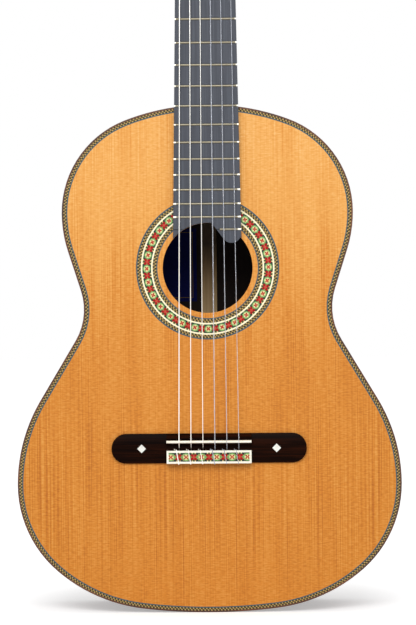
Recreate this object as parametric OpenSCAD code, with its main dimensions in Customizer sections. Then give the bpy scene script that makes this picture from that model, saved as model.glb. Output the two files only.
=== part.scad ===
// Classical guitar, 650 mm scale, built as an assembly of its real pieces.
// Origin: on the centreline, where the neck meets the head, at the level of the soundboard's face.
// +Z runs along the neck towards the head, -Y is the front (strings), +X is the treble side.
// "d" is a distance down the centreline from the nut, so z = -d. Depth "y" is 0 at the soundboard's face.

/* [Scale and frets] */
// Open string length that sets every fret
scale_length = 650; // [630:1:660]
// Extra string length at the saddle
compensation = 1.5; // [0:0.1:3]
// Frets that cross the whole fretboard
full_frets = 19; // [17:1:19]
// Fret where the neck meets the body
joint_fret = 12; // [12:1:12]

/* [Body outline] */
// Height of the body's top edge above the joint fret, on the centreline
body_rise = 1.7; // [0:0.1:4]
// Length of the body
body_length = 495; // [480:1:505]
// Width of the upper bout
upper_bout_w = 284; // [270:1:295]
// Where the upper bout is widest, as a share of the body's length from its top
upper_bout_share = 0.2118; // [0.2:0.0001:0.225]
// Radius of the upper bout above its widest line
upper_shoulder_r = 96.5; // [90:0.5:102]
// Radius of the upper bout below its widest line
upper_hip_r = 122; // [105:1:130]
// Width of the waist
waist_w = 242.1; // [232:0.1:252]
// Where the waist is, as a share of the body's length from its top
waist_share = 0.4012; // [0.39:0.0001:0.412]
// Radius of the waist
waist_r = 60; // [50:1:70]
// Width of the lower bout
lower_bout_w = 374.6; // [360:0.2:382]
// Where the lower bout is widest, as a share of the body's length from its top
lower_bout_share = 0.7474; // [0.726:0.0001:0.758]
// Radius of the lower bout above its widest line
lower_hip_r = 160; // [140:1:165]
// Radius of the lower bout below its widest line
lower_corner_r = 111; // [104:1:120]
// Angle through which that radius turns, after which the edge runs flatter
corner_turn = 49; // [45:1:54]
// Radius of that flatter run, up to the tail
corner_run_r = 156.5; // [125:0.5:159]

/* [Body shell] */
// Greatest depth of the body, on the centreline
body_depth = 103; // [95:0.5:106]
// Where the body is deepest, as a share of its length from its top
deepest_share = 0.7085; // [0.65:0.0005:0.77]
// Radius of the back's arch across the body
cross_arch_r = 4500; // [3500:100:9000]
// Radius of the back's arch along the body
long_arch_r = 5200; // [4500:100:9000]
// Thickness of the soundboard
top_t = 2.4; // [2:0.1:3]
// Thickness of the back
back_t = 2.6; // [2:0.1:3.2]
// Thickness of the sides
side_t = 1.6; // [1.4:0.1:2.4]
// Height of the binding round the soundboard
top_binding_h = 6; // [4:0.5:7]
// Height of the binding round the back
back_binding_h = 5; // [4:0.5:6]
// Width of the mosaic purfling inside the top binding
purfling_w = 3.9; // [2:0.1:5]
// Depth of the purfling and of the rosette
inlay_depth = 1.4; // [0.8:0.1:1.8]
// Width of the inlaid strip down the middle of the back
back_strip_w = 4; // [2:0.5:8]
// Width of the end graft
graft_w = 6; // [4:0.5:12]

/* [Sound hole and rosette] */
// Radius of the sound hole
hole_r = 43.9; // [41:0.1:45]
// Distance of the sound hole's centre below the joint fret
hole_below_joint = 157.5; // [155:0.5:160]
// Width of plain cedar between the sound hole and the rosette
rosette_land = 5.1; // [3:0.1:8]
// Widths of the rosette's rings, from the inside out
rosette_rings = [4.65, 1.5, 8.5, 1.5, 4.7];
// Width of the reinforcement ring glued round the hole, inside
hole_patch_w = 13; // [6:0.5:15]
// Thickness of that reinforcement ring
hole_patch_t = 1.6; // [1:0.1:2.5]

/* [Bracing and blocks] */
// Number of fan braces
fan_count = 7; // [5:2:9]
// Width of a fan brace
fan_w = 5; // [4:0.5:6]
// Height of a fan brace
fan_h = 4.5; // [3:0.5:6]
// Width of the two harmonic bars
bar_w = 7; // [5:0.5:9]
// Height of the two harmonic bars
bar_h = 17; // [12:1:20]
// Height of the back braces
back_brace_h = 15; // [12:1:18]
// Width of the back braces
back_brace_w = 8; // [6:0.5:10]
// Width of the spruce strip over the back's inner seam
seam_strip_w = 15; // [10:0.5:20]
// Thickness of that strip
seam_strip_t = 2; // [1.5:0.1:3]
// Thickness of the linings
lining_t = 5; // [4:0.5:6]
// Height of the linings
lining_h = 14; // [10:0.5:18]
// Width of the tail block
tail_block_w = 70; // [50:1:90]
// Thickness of the tail block
tail_block_t = 15; // [12:1:20]

/* [Neck and fretboard] */
// Width of the nut and of the fretboard there
nut_w = 52; // [50:0.5:54]
// Width of the fretboard at the joint fret
joint_w = 62.4; // [60:0.2:64]
// Thickness of the fretboard
board_t = 6; // [5:0.5:7]
// Thickness of the neck's wood at the nut
neck_t_nut = 15.5; // [14:0.5:18]
// Thickness of the neck's wood near the heel
neck_t_heel = 17.5; // [15:0.5:20]
// Thickness of the nut along the strings
nut_t = 5; // [4:0.5:6]
// Width of the heel at its cap
heel_cap_w = 30; // [24:1:36]
// Length of the heel at its cap
heel_cap_l = 20; // [16:1:26]
// Thickness of the heel cap
heel_cap_t = 3; // [2:0.5:4]
// Length of the foot inside the body
foot_l = 72; // [50:1:90]
// Width of a fret's crown
fret_w = 2.2; // [1.8:0.1:2.6]
// Height of a fret's crown
fret_h = 1; // [0.8:0.1:1.3]

/* [Head] */
// Backward tilt of the head
head_angle = 15; // [10:0.5:17]
// Width of the head at the tuners
head_w = 74; // [70:0.5:78]
// Thickness of the head's wood
head_t = 18; // [17:0.5:20]
// Thickness of the rosewood veneer on the head
veneer_t = 2.5; // [1.5:0.5:3]
// Width of the bar left between the slots
web_w = 14; // [13:0.5:16]
// Width of each slot
slot_w = 15.5; // [14:0.5:16.5]

/* [Tuners] */
// Distance from the nut to the first roller, along the head
first_roller_at = 61; // [58:1:66]
// Distance between rollers
roller_pitch = 35; // [34:0.5:36]
// Radius of a roller
roller_r = 5; // [4.5:0.1:5.2]
// Number of teeth on a tuner's gear
gear_teeth = 16; // [14:1:17]
// Pitch radius of the gear
gear_r = 6.4; // [6:0.1:6.8]
// Mean radius of the worm's thread
worm_r = 2.5; // [2.3:0.1:2.7]
// Radius of the worm's shaft
shaft_r = 1.55; // [1.4:0.05:1.7]
// Thickness of a tuner plate
plate_t = 1.2; // [1:0.1:1.6]
// Width of a button
button_w = 17; // [14:0.5:19]
// Thickness of a button
button_t = 8; // [6:0.5:9]

/* [Bridge and strings] */
// Length of the bridge across the soundboard
bridge_l = 190; // [180:1:200]
// Width of the bridge along the strings
bridge_w = 29; // [27:0.5:32]
// Length of the saddle and of the tie block
saddle_l = 82.5; // [80:0.5:88]
// Thickness of the saddle
saddle_t = 2.5; // [2:0.1:3]
// Height of the wings at their crown
wing_h = 4.2; // [3:0.1:5]
// Height of the tie block under its cap
tie_block_h = 7.4; // [6:0.1:8.5]
// Thickness of the tie block's cap
cap_t = 1.2; // [0.8:0.1:2]
// Distance between the outer strings at the nut
nut_spread = 45.5; // [43:0.5:47]
// Distance between the outer strings at the saddle
saddle_spread = 58; // [56:0.5:60]
// Gap between the strings and the frets at the nut
action_nut = 0.45; // [0.3:0.05:1]
// Gap between the strings and the plane of the frets at the saddle
action_saddle = 4.6; // [3.5:0.1:6]

/* [Hidden] */
$fn = 48;

// ---- shared clearances ----
running_gap = 0.05;     // between a shaft and its bore
seat_gap = 0.1;         // between a string and what carries it
wrap_gap = 0.3;         // between a string and its roller, which turns under it
threaded_gap = 0.02;    // between a screw and its hole
cut = 1;                // how far a cutter runs past a face

// ---- colours ----
cedar = "#c9843f";
spruce = "#d8b98a";
rosewood = "#3a1d14";
ebony = "#26262a";
mahogany = "#7a4526";
bone = "#efe9d6";
brass = "#b8954a";
silver = "#c9c9c6";
pearl = "#e6e2d8";

// ---- distances down the centreline ----
function fret_at(n) = scale_length * (1 - pow(2, -n / 12));
joint_at = fret_at(joint_fret);
body_top = joint_at - body_rise;
body_end = body_top + body_length;
hole_at = joint_at + hole_below_joint;
saddle_at = scale_length + compensation;
board_end_at = hole_at - hole_r;
function board_half(d) = nut_w / 2 + (joint_w - nut_w) / 2 * d / joint_at;

// ---- body outline: eight tangent arcs and two short straights on each side ----
segment = 8;            // longest side of the polygon that stands for an arc
upper_d = body_top + upper_bout_share * body_length;
waist_d = body_top + waist_share * body_length;
lower_d = body_top + lower_bout_share * body_length;
tail_reach = body_end - lower_d;
// A radius gives way where the bouts' sizes leave it no room, so that the arcs still meet
shoulder_r = min(upper_shoulder_r, (upper_d - body_top) * 0.94);
corner_r = min(lower_corner_r, tail_reach * 0.96);
corner_c = [lower_bout_w / 2 - corner_r, lower_d];
// The corner turns less than it would with the tail's arc next to it, which leaves room for the run between
turn_a = min(corner_turn, 0.92 * heading([0, body_end - end_arc_r(tail_reach, corner_c[0], corner_r)], corner_c));
run_r = min(corner_run_r, (tail_reach - corner_r * sin(turn_a)) / (1 - sin(turn_a)) * 0.95);
function waist_room(half_w, r, run) = let (w = waist_w / 2 - (half_w - r))
    (w * w + run * run - r * r) / (2 * (r - w));
waist_fit_r = min(waist_r, waist_room(upper_bout_w / 2, upper_hip_r, waist_d - upper_d) * 0.9,
    waist_room(lower_bout_w / 2, lower_hip_r, lower_d - waist_d) * 0.9);
shoulder_c = [upper_bout_w / 2 - shoulder_r, upper_d];
hip_c = [upper_bout_w / 2 - upper_hip_r, upper_d];
waist_c = [waist_w / 2 + waist_fit_r, waist_d];
flank_c = [lower_bout_w / 2 - lower_hip_r, lower_d];
run_c = corner_c + (corner_r - run_r) * [cos(turn_a), sin(turn_a)];
function end_arc_r(h, x, r) = (h * h + x * x - r * r) / (2 * (h - r));
top_arc_r = end_arc_r(upper_d - body_top, shoulder_c[0], shoulder_r);
tail_arc_r = end_arc_r(body_end - run_c[1], run_c[0], run_r);
top_c = [0, body_top + top_arc_r];
tail_c = [0, body_end - tail_arc_r];
function heading(a, b) = atan2(b[1] - a[1], b[0] - a[0]);
function inner_tangent(a, ra, b, rb, side) = heading(a, b) + side * acos((ra + rb) / norm(b - a));
shoulder_a = heading(top_c, shoulder_c);
upper_tangent_a = inner_tangent(hip_c, upper_hip_r, waist_c, waist_fit_r, -1);
lower_tangent_a = inner_tangent(flank_c, lower_hip_r, waist_c, waist_fit_r, 1);
run_a = heading(tail_c, run_c);
// [centre, radius, first angle, last angle, +1 where the arc bulges outwards]
arcs = [
    [top_c, top_arc_r, -90, shoulder_a, 1],
    [shoulder_c, shoulder_r, shoulder_a, 0, 1],
    [hip_c, upper_hip_r, 0, upper_tangent_a, 1],
    [waist_c, waist_fit_r, upper_tangent_a + 180, lower_tangent_a + 180, -1],
    [flank_c, lower_hip_r, lower_tangent_a, 0, 1],
    [corner_c, corner_r, 0, turn_a, 1],
    [run_c, run_r, turn_a, run_a, 1],
    [tail_c, tail_arc_r, run_a, 90, 1]];
function arc_steps(a) = max(2, ceil(abs(a[3] - a[2]) * PI / 180 * a[1] / segment));
// Right half of the outline, from the top centre to the tail centre, moved inwards by inset
function half_outline(inset) = [for (k = [0 : len(arcs) - 1]) let (a = arcs[k], n = arc_steps(a), r = a[1] - a[4] * inset)
    for (i = [(k == 0 || k == 3 || k == 4) ? 0 : 1 : n]) let (t = a[2] + (a[3] - a[2]) * i / n)
        [a[0][0] + r * cos(t), -(a[0][1] + r * sin(t))]];
function mirrored(points) = [for (i = [len(points) - 2 : -1 : 1]) [-points[i][0], points[i][1]]];
function outline(inset) = let (h = half_outline(inset)) concat(h, mirrored(h));

// A flat shape drawn in x and z, made solid from depth y0 to depth y1
module slab(y0, y1) {
    translate([0, y1, 0]) rotate([90, 0, 0]) linear_extrude(y1 - y0) children();
}
module body_shape(inset) { polygon(outline(inset)); }
module rim_shape(outer, inner) {
    difference() { body_shape(outer); body_shape(inner); }
}
// A rectangle in x and z between two distances down the centreline
module band(x0, x1, d0, d1) { translate([x0, -d1]) square([x1 - x0, d1 - d0]); }

// ---- the arched back ----
arch_far = 150;         // how far the cutter behind the back reaches
arch_half_w = lower_bout_w / 2 + 13;
arch_columns = 10;
arch_rows = 14;
function back_depth(x, d) = body_depth - x * x / (2 * cross_arch_r)
    - pow(d - body_top - deepest_share * body_length, 2) / (2 * long_arch_r);
arch_d0 = body_top - 30;
arch_d1 = body_end + 20;
// Everything behind the back's outer surface moved by shift
module behind_back(shift) {
    nx = arch_columns;
    nd = arch_rows;
    grid = [for (j = [0 : nd]) for (i = [0 : nx])
        let (x = -arch_half_w + 2 * arch_half_w * i / nx, d = arch_d0 + (arch_d1 - arch_d0) * j / nd)
        [x, back_depth(x, d) + shift, -d]];
    far = [[-arch_half_w, arch_far, -arch_d0], [arch_half_w, arch_far, -arch_d0],
        [arch_half_w, arch_far, -arch_d1], [-arch_half_w, arch_far, -arch_d1]];
    f = len(grid);
    row = nx + 1;
    polyhedron(points = concat(grid, far), faces = concat(
        [for (j = [0 : nd - 1]) for (i = [0 : nx - 1])
            [j * row + i, j * row + i + 1, (j + 1) * row + i + 1, (j + 1) * row + i]],
        [[f, f + 3, f + 2, f + 1]],
        [concat([f + 1], [for (i = [nx : -1 : 0]) i], [f])],
        [concat([f + 3], [for (i = [0 : nx]) nd * row + i], [f + 2])],
        [concat([f], [for (j = [0 : nd]) j * row], [f + 3])],
        [concat([f + 2], [for (j = [nd : -1 : 0]) j * row + nx], [f + 1])]));
}
heel_depth = back_depth(0, body_top);
// How far the back's edge lies in front of its deepest point, at most
arch_drop = body_depth - min(back_depth(0, body_top), back_depth(upper_bout_w / 2, upper_d),
    back_depth(lower_bout_w / 2, lower_d), back_depth(lower_bout_w / 2, body_end)) + 1;

// ---- soundboard, rosette and the wood round the hole ----
rosette_r0 = hole_r + rosette_land;
function ring_start(k) = k == 0 ? rosette_r0 : ring_start(k - 1) + rosette_rings[k - 1];
rosette_r1 = ring_start(len(rosette_rings));
purfling_end = board_half(joint_at) - 3;    // the purfling stops under the fretboard's edge

module at_hole() { translate([0, -hole_at]) children(); }
module purfling_shape() {
    difference() {
        rim_shape(side_t, side_t + purfling_w);
        band(-purfling_end, purfling_end, body_top - cut, body_top + 3 * (side_t + purfling_w));
    }
}
module soundboard() {
    color(cedar) difference() {
        slab(0, top_t) body_shape(side_t);
        slab(-cut, inlay_depth) purfling_shape();
        slab(-cut, inlay_depth) at_hole() difference() { circle(rosette_r1); circle(rosette_r0); }
        slab(-cut, top_t + cut) at_hole() circle(hole_r);
    }
}
module rosette() {
    for (k = [0 : len(rosette_rings) - 1])
        color(k % 2 == 0 ? "#7d8a5a" : "#efe3b4") slab(0, inlay_depth) at_hole() difference() {
            circle(ring_start(k + 1));
            circle(ring_start(k));
        }
}
module top_purfling() { color("#8a8658") slab(0, inlay_depth) purfling_shape(); }
module soundhole_ring() {
    color(spruce) slab(top_t, top_t + hole_patch_t) at_hole() difference() {
        circle(hole_r + 1 + hole_patch_w);
        circle(hole_r + 1);
    }
}

// ---- braces under the soundboard ----
bar_gap = 4;            // between the reinforcement ring and each harmonic bar
inside = side_t + lining_t + 0.5;           // inset that clears the linings
upper_bar_at = hole_at - hole_r - 1 - hole_patch_w - bar_gap - bar_w;
lower_bar_at = hole_at + hole_r + 1 + hole_patch_w + bar_gap;
fan_start = lower_bar_at + bar_w + 6;
fan_end = body_end - tail_reach * 0.49;
fan_top_step = 15;
fan_tail_step = 40;
closing_gap = 5;
// A bar on the soundboard's inside from [x, d] to [x, d], with a peaked section
module brace(from, to, w, h) {
    run = to - from;
    translate([from[0], top_t, -from[1]])
        rotate([0, atan2(run[0], -run[1]), 0])
            linear_extrude(norm(run))
                polygon([[-w / 2, 0], [w / 2, 0], [w / 2, h * 0.55], [w / 8, h], [-w / 8, h], [-w / 2, h * 0.55]]);
}
module harmonic_bar(at) {
    intersection() {
        slab(top_t, top_t + bar_h) body_shape(inside);
        translate([0, top_t, -at - bar_w]) rotate([90, 0, 90]) linear_extrude(upper_bout_w + lower_bout_w, center = true)
            polygon([[0, 0], [0, bar_w], [bar_h * 0.7, bar_w], [bar_h, bar_w * 0.7], [bar_h, bar_w * 0.3], [bar_h * 0.7, 0]]);
    }
}
module top_braces() {
    half = (fan_count - 1) / 2;
    color(spruce) {
        for (k = [-half : half]) {
            shorter = 4.5 * k * k;      // the outer fans are shorter
            brace([k * fan_top_step, fan_start + shorter * 0.5], [k * fan_tail_step, fan_end - shorter], fan_w, fan_h);
        }
        for (s = [-1, 1])
            brace([s * (fan_w / 2 + 1), fan_end + closing_gap + fan_w],
                [s * half * fan_tail_step, fan_end - 4.5 * half * half + closing_gap + 2 * fan_w], fan_w, fan_h);
        harmonic_bar(upper_bar_at);
        harmonic_bar(lower_bar_at);
    }
}

// ---- back ----
module back_plate(x0, x1) {
    difference() {
        intersection() {
            slab(body_depth - arch_drop - back_t, body_depth + cut) intersection() {
                body_shape(side_t);
                band(x0, x1, body_top - cut, body_end + cut);
            }
            behind_back(-back_t);
        }
        behind_back(0);
    }
}
module back_panels() {
    color(rosewood) {
        back_plate(-arch_half_w, -back_strip_w / 2);
        back_plate(back_strip_w / 2, arch_half_w);
    }
}
module back_inlay_strip() { color("#c7a873") back_plate(-back_strip_w / 2, back_strip_w / 2); }
back_brace_at = [for (share = [0.158, 0.449, 0.757]) body_top + share * body_length];
// Wood of height h on the inside of the back, within a flat shape
module on_back(h) {
    difference() {
        slab(body_depth - arch_drop - back_t - h - cut, body_depth) children();
        behind_back(-back_t);
        front_of_back(-back_t - h);
    }
}
// Everything in front of the back's outer surface moved by shift
module front_of_back(shift) {
    difference() {
        translate([-arch_half_w + cut, -cut, -arch_d1 + cut])
            cube([2 * (arch_half_w - cut), arch_far - 10, arch_d1 - arch_d0 - 2 * cut]);
        behind_back(shift);
    }
}
module back_braces() {
    color(spruce) for (d = back_brace_at)
        difference() {
            slab(back_depth(0, d) - back_t - back_brace_h, body_depth) intersection() {
                body_shape(inside);
                band(-arch_half_w, arch_half_w, d, d + back_brace_w);
            }
            behind_back(-back_t);
        }
}
foot_end = body_top + foot_l;
module back_seam_strip() {
    stops = concat([foot_end + 3], back_brace_at, [body_end - side_t - tail_block_t - 1]);
    color("#b39b6c") for (k = [0 : len(stops) - 2])
        if (stops[k + 1] > stops[k] + back_brace_w + 4)
            on_back(seam_strip_t)
                band(-seam_strip_w / 2, seam_strip_w / 2,
                    stops[k] + (k == 0 ? 0 : back_brace_w + 0.5), stops[k + 1] - 0.5);
}
label_w = 76;
label_h = 74;
label_t = 0.3;
label_at = hole_at - hole_r + 1.9;     // its upper edge
label_gap = 5.5;                  // between the label and the seam strip
module label() {
    x1 = -seam_strip_w / 2 - label_gap;
    color("#141f4a") on_back(label_t) band(x1 - label_w, x1, label_at, label_at + label_h);
}

// ---- sides, linings, blocks and edges ----
slot_half = 10;         // the sides' ends stop in the heel this far from the centreline
module side(s) {
    color(rosewood) difference() {
        slab(top_binding_h, body_depth) intersection() {
            rim_shape(0, side_t);
            union() {
                band(s > 0 ? slot_half : -arch_half_w, s > 0 ? arch_half_w : -slot_half, body_top - cut, lower_d);
                band(s > 0 ? graft_w / 2 : -arch_half_w, s > 0 ? arch_half_w : -graft_w / 2, lower_d - cut, body_end + cut);
            }
        }
        behind_back(-back_binding_h);
    }
}
module end_graft() {
    color("#c7a873") difference() {
        slab(top_binding_h, body_depth) intersection() {
            rim_shape(0, side_t);
            band(-graft_w / 2, graft_w / 2, lower_d, body_end + cut);
        }
        behind_back(-back_binding_h);
    }
}
// Small glued blocks under the soundboard's edge, one on each straight of the outline
block_space = 1.2;
neck_block_half = 31;
module top_lining_blocks() {
    edge = outline(side_t);
    n = len(edge);
    for (i = [0 : n - 1]) {
        a = edge[i];
        b = edge[(i + 1) % n];
        mid = (a + b) / 2;
        long = norm(b - a) - block_space;
        clear_of_foot = abs(mid[0]) > neck_block_half + segment || -mid[1] > upper_d;
        clear_of_tail = abs(mid[0]) > tail_block_w / 2 + segment || -mid[1] < lower_d;
        if (long > 3 && clear_of_foot && clear_of_tail)
            translate([mid[0], top_t, mid[1]])
                rotate([0, -atan2(b[1] - a[1], b[0] - a[0]), 0])
                    translate([-long / 2, 0, 0]) rotate([90, 0, 90]) linear_extrude(long)
                        polygon([[0, 0], [0, -lining_t], [lining_h * 0.35, -lining_t], [lining_h, -1.2], [lining_h, 0]]);
    }
}
module linings() {
    color(spruce) {
        top_lining_blocks();
        difference() {
            on_back(lining_h) rim_shape(side_t, side_t + lining_t);
            slab(-cut, arch_far) band(-neck_block_half - 1, neck_block_half + 1, body_top - cut, upper_d);
            slab(-cut, arch_far) band(-tail_block_w / 2 - 1, tail_block_w / 2 + 1, lower_d, body_end + cut);
        }
    }
}
module tail_block() {
    color(spruce) difference() {
        slab(top_t, body_depth) intersection() {
            body_shape(side_t);
            band(-tail_block_w / 2, tail_block_w / 2, body_end - side_t - tail_block_t, body_end);
        }
        behind_back(-back_t);
    }
}
module bindings() {
    color(rosewood) {
        slab(0, top_binding_h) difference() {
            rim_shape(0, side_t);
            band(-board_half(joint_at), board_half(joint_at), body_top - cut, upper_d);
        }
        difference() {
            intersection() {
                slab(body_depth - arch_drop - back_binding_h, body_depth + cut) rim_shape(0, side_t);
                behind_back(-back_binding_h);
            }
            behind_back(0);
            slab(heel_tip, arch_far) band(-heel_cap_w / 2, heel_cap_w / 2, body_top - cut, upper_d);
            slab(0, arch_far) band(-slot_half, slot_half, body_top - cut, upper_d);
        }
    }
}

// ---- neck: a sweep of D-shaped sections, and a heel of slices that narrow towards its cap ----
heel_tip = heel_depth - heel_cap_t;
section_power = 2.3;
section_side = 13;      // points on each side of a section
least_half = 0.4;       // half width of the flat along the neck's back
function neck_t(d) = neck_t_nut + (neck_t_heel - neck_t_nut) * min(1, d / (joint_at * 0.8));
// A D-shaped section: half width w at the front, thickness t, squarer as the power grows
function section_point(w, t, power, k) = let (v = sin(90 * k / section_side))
    [max(least_half, w * pow(1 - pow(v, power), 1 / power)), v * t];
function d_section(w, t, power) = concat(
    [for (k = [0 : section_side]) section_point(w, t, power, k)],
    [for (k = [section_side : -1 : 0]) let (p = section_point(w, t, power, k)) [-p[0], p[1]]]);
function neck_section(d) = [for (p = d_section(board_half(d), neck_t(d), section_power)) [p[0], p[1], -d]];
neck_overlap = 6;       // the sweep runs this far into the body, and the body's outline trims it
neck_steps = 12;
heel_fillet_r = 30;     // how far the curve between heel and neck runs up the neck
heel_fillet_h = 40;     // and how far it runs down the heel
heel_start = neck_t_heel - 3;
heel_slices = 16;
heel_points = 20;
function heel_reach(y) = let (v = 1 - max(0, min(1, (y - heel_start) / heel_fillet_h)))
    heel_cap_l + heel_fillet_r * (1 - sqrt(1 - v * v)) + 2 * (1 - y / heel_tip);
function heel_half(y) = heel_cap_w / 2 + (joint_w - 3 - heel_cap_w) / 2 * pow(1 - y / heel_tip, 1.5);
function heel_slice(y) = concat([[heel_half(y), y, -body_top - neck_overlap]],
    [for (i = [0 : heel_points]) let (a = 180 * i / heel_points)
        [heel_half(y) * cos(a), y, -body_top + heel_reach(y) * sin(a)]],
    [[-heel_half(y), y, -body_top - neck_overlap]]);
heel_levels = concat([heel_tip, heel_start + heel_fillet_h + 14],
    [for (i = [heel_slices : -1 : 0]) heel_start + heel_fillet_h * pow(i / heel_slices, 2)], [heel_start * 0.5]);
// A closed skin over a row of sections that have the same number of points
module skin(sections) {
    n = len(sections[0]);
    m = len(sections);
    polyhedron(points = [for (s = sections) for (p = s) p], faces = concat(
        [[for (i = [0 : n - 1]) i]],
        [for (j = [0 : m - 2]) for (i = [0 : n - 1]) [j * n + i, (j + 1) * n + i, (j + 1) * n + (i + 1) % n, j * n + (i + 1) % n]],
        [[for (i = [n - 1 : -1 : 0]) (m - 1) * n + i]]));
}
foot_w = 46;
foot_t = 16;
upper_block_l = 26;     // the block that holds the sides, down from the body's top
slot_web_l = 10;        // the wood between the slots of the two sides
module neck_inside() {
    difference() {
        union() {
            slab(top_t, body_depth) intersection() {
                body_shape(side_t);
                band(-foot_w / 2, foot_w / 2, body_top, body_top + upper_block_l);
            }
            slab(top_t, body_depth) band(-slot_half, slot_half, body_top - 1, body_top + slot_web_l);
            slab(heel_depth - back_t - foot_t, body_depth) intersection() {
                body_shape(side_t);
                union() {
                    band(-foot_w / 2, foot_w / 2, body_top, foot_end - foot_w / 2);
                    translate([0, -(foot_end - foot_w / 2)]) circle(foot_w / 2);
                }
            }
        }
        behind_back(-back_t);
        slab(heel_tip, arch_far) band(-foot_w, foot_w, body_top - cut, body_top + side_t);
    }
}
module neck() {
    color(mahogany) union() {
        difference() {
            union() {
                skin(concat([for (i = [neck_steps : -1 : 0]) neck_section((body_top + neck_overlap) * i / neck_steps)],
                    [[for (p = d_section(nut_w / 2, neck_t_nut, section_power)) [p[0], p[1], nut_t]]],
                    [for (z = [2 * flare_step : flare_step : root_l]) root_section(z)]));
                skin([for (y = heel_levels) heel_slice(y)]);
            }
            slab(-cut, arch_far) body_shape(0);
        }
        slab(0, top_binding_h) intersection() {
            rim_shape(0, side_t);
            band(-board_half(joint_at), board_half(joint_at), body_top - cut, upper_d);
        }
        neck_inside();
    }
}
module heel_cap() {
    color(rosewood) slab(heel_tip, heel_depth) difference() {
        union() {
            intersection() {
                translate([0, -body_top]) polygon([for (i = [0 : 24]) let (a = 180 * i / 24)
                    [heel_cap_w / 2 * cos(a), heel_cap_l * sin(a)]]);
                band(-heel_cap_w, heel_cap_w, body_top - heel_cap_l - cut, body_top);
            }
            band(-heel_cap_w / 2, heel_cap_w / 2, body_top - 0.5, body_top + side_t);
        }
        body_shape(side_t);
    }
}

// ---- fretboard and frets ----
tongue_r = 9.4;         // round end under the twentieth fret
tongue_side_gap = 0.2;
tongue_c = [board_half(board_end_at + 10) - tongue_r - tongue_side_gap, hole_at - hole_r + 10.4];
tongue_root = [4.5, board_end_at + 0.5];
tongue_tangent_a = heading(tongue_c, tongue_root)
    - acos(tongue_r / norm(tongue_root - tongue_c));
module board_shape() {
    b = hole_at;
    intersection() {
        polygon([[-nut_w / 2, 0], [nut_w / 2, 0], [board_half(b), -b], [-board_half(b), -b]]);
        union() {
            difference() {
                band(-joint_w, joint_w, 0, hole_at - hole_r * 0.55);
                at_hole() circle(hole_r);
            }
            translate([tongue_c[0], -tongue_c[1]]) circle(tongue_r);
            polygon([[tongue_root[0], -tongue_root[1]],
                [tongue_c[0] + tongue_r * cos(tongue_tangent_a), -(tongue_c[1] + tongue_r * sin(tongue_tangent_a))],
                [tongue_c[0], -tongue_c[1]], [joint_w, -tongue_c[1]], [joint_w, -board_end_at + 10], [0, -board_end_at + 10]]);
        }
    }
}
tang_w = 0.6;
tang_h = 1.8;
extra_fret = full_frets + 1;
extra_fret_x0 = tongue_root[0] + (fret_at(extra_fret) - tongue_root[1]) + 1.6;
module fretboard() {
    color(ebony) difference() {
        slab(-board_t, 0) board_shape();
        for (n = [1 : extra_fret])
            translate([-joint_w, -board_t - cut, -fret_at(n) - tang_w / 2])
                cube([2 * joint_w, tang_h + cut, tang_w]);
    }
}
function crown(w, h, n) = [for (i = [0 : n]) let (a = 180 * i / n) [h * sin(a), w / 2 * cos(a)]];
module fret_wire(d, x0, x1) {
    translate([x0, -board_t, -d]) rotate([90, 0, 90]) linear_extrude(x1 - x0) {
        rotate(180) polygon(crown(fret_w, fret_h, 10));
    }
    translate([x0, -board_t, -d - tang_w / 2]) cube([x1 - x0, tang_h, tang_w]);
}
module frets() {
    color(brass) {
        for (n = [1 : full_frets]) fret_wire(fret_at(n), -board_half(fret_at(n)), board_half(fret_at(n)));
        if (fret_at(extra_fret) > board_end_at)
            fret_wire(fret_at(extra_fret), extra_fret_x0, board_half(fret_at(extra_fret)));
    }
}

// ---- strings: number 1 is the thin treble, number 6 the thick bass ----
string_d = [0.71, 0.82, 1.02, 0.76, 0.9, 1.09];
fret_top = board_t + fret_h;
function string_x(n, spread) = spread / 2 - (n - 1) * spread / 5;
function string_r(n) = string_d[n - 1] / 2;
nut_h = fret_top + action_nut + 1;
saddle_h = fret_top + action_saddle;
hole_h = 4.3;           // height of the tie holes above the soundboard
tie_hole_r = 0.8;
bridge_front = saddle_at - 7.8;
bridge_rear = bridge_front + bridge_w;
tie_block_d = 12.6;
tie_front = bridge_rear - tie_block_d;
tie_top = tie_block_h + cap_t;

// ---- head frame: x across, y back from the wood's face, z along the tilted head ----
module head_frame() { translate([0, 0, nut_t]) rotate([-head_angle, 0, 0]) children(); }
function from_head(p) = [p[0], p[1] * cos(head_angle) + p[2] * sin(head_angle),
    nut_t + p[2] * cos(head_angle) - p[1] * sin(head_angle)];
roller_y = (head_t - veneer_t) / 2;         // the rollers sit in the middle of the head's thickness
// Machines 1 to 3 are on the treble side, 4 to 6 on the bass side; the outer strings use the lowest rollers
function machine_side(n) = n <= 3 ? 1 : -1;
function roller_z(n) = first_roller_at + roller_pitch * (n <= 3 ? n - 1 : 6 - n);
slot_x0 = web_w / 2;
slot_x1 = slot_x0 + slot_w;
// Where each string lands on its roller, measured from the centreline
landing = [slot_x1 - 4.2, slot_x0 + 7, slot_x0 + 4.2];
function landing_x(n) = machine_side(n) * landing[n <= 3 ? n - 1 : 6 - n];
wrap_r = roller_r + wrap_gap;
wrap_steps = 8;
wrap_turn = 100;
// Angle, on the roller, of the point where a line from the nut just touches it
function touch_a(n, from) = let (dy = from[1] - roller_y, dz = from[2] - roller_z(n), r = wrap_r + string_r(n))
    atan2(dy, dz) + acos(r / norm([dy, dz]));
function to_head(p) = [p[0], p[1] * cos(head_angle) - (p[2] - nut_t) * sin(head_angle),
    (p[2] - nut_t) * cos(head_angle) + p[1] * sin(head_angle)];
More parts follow.
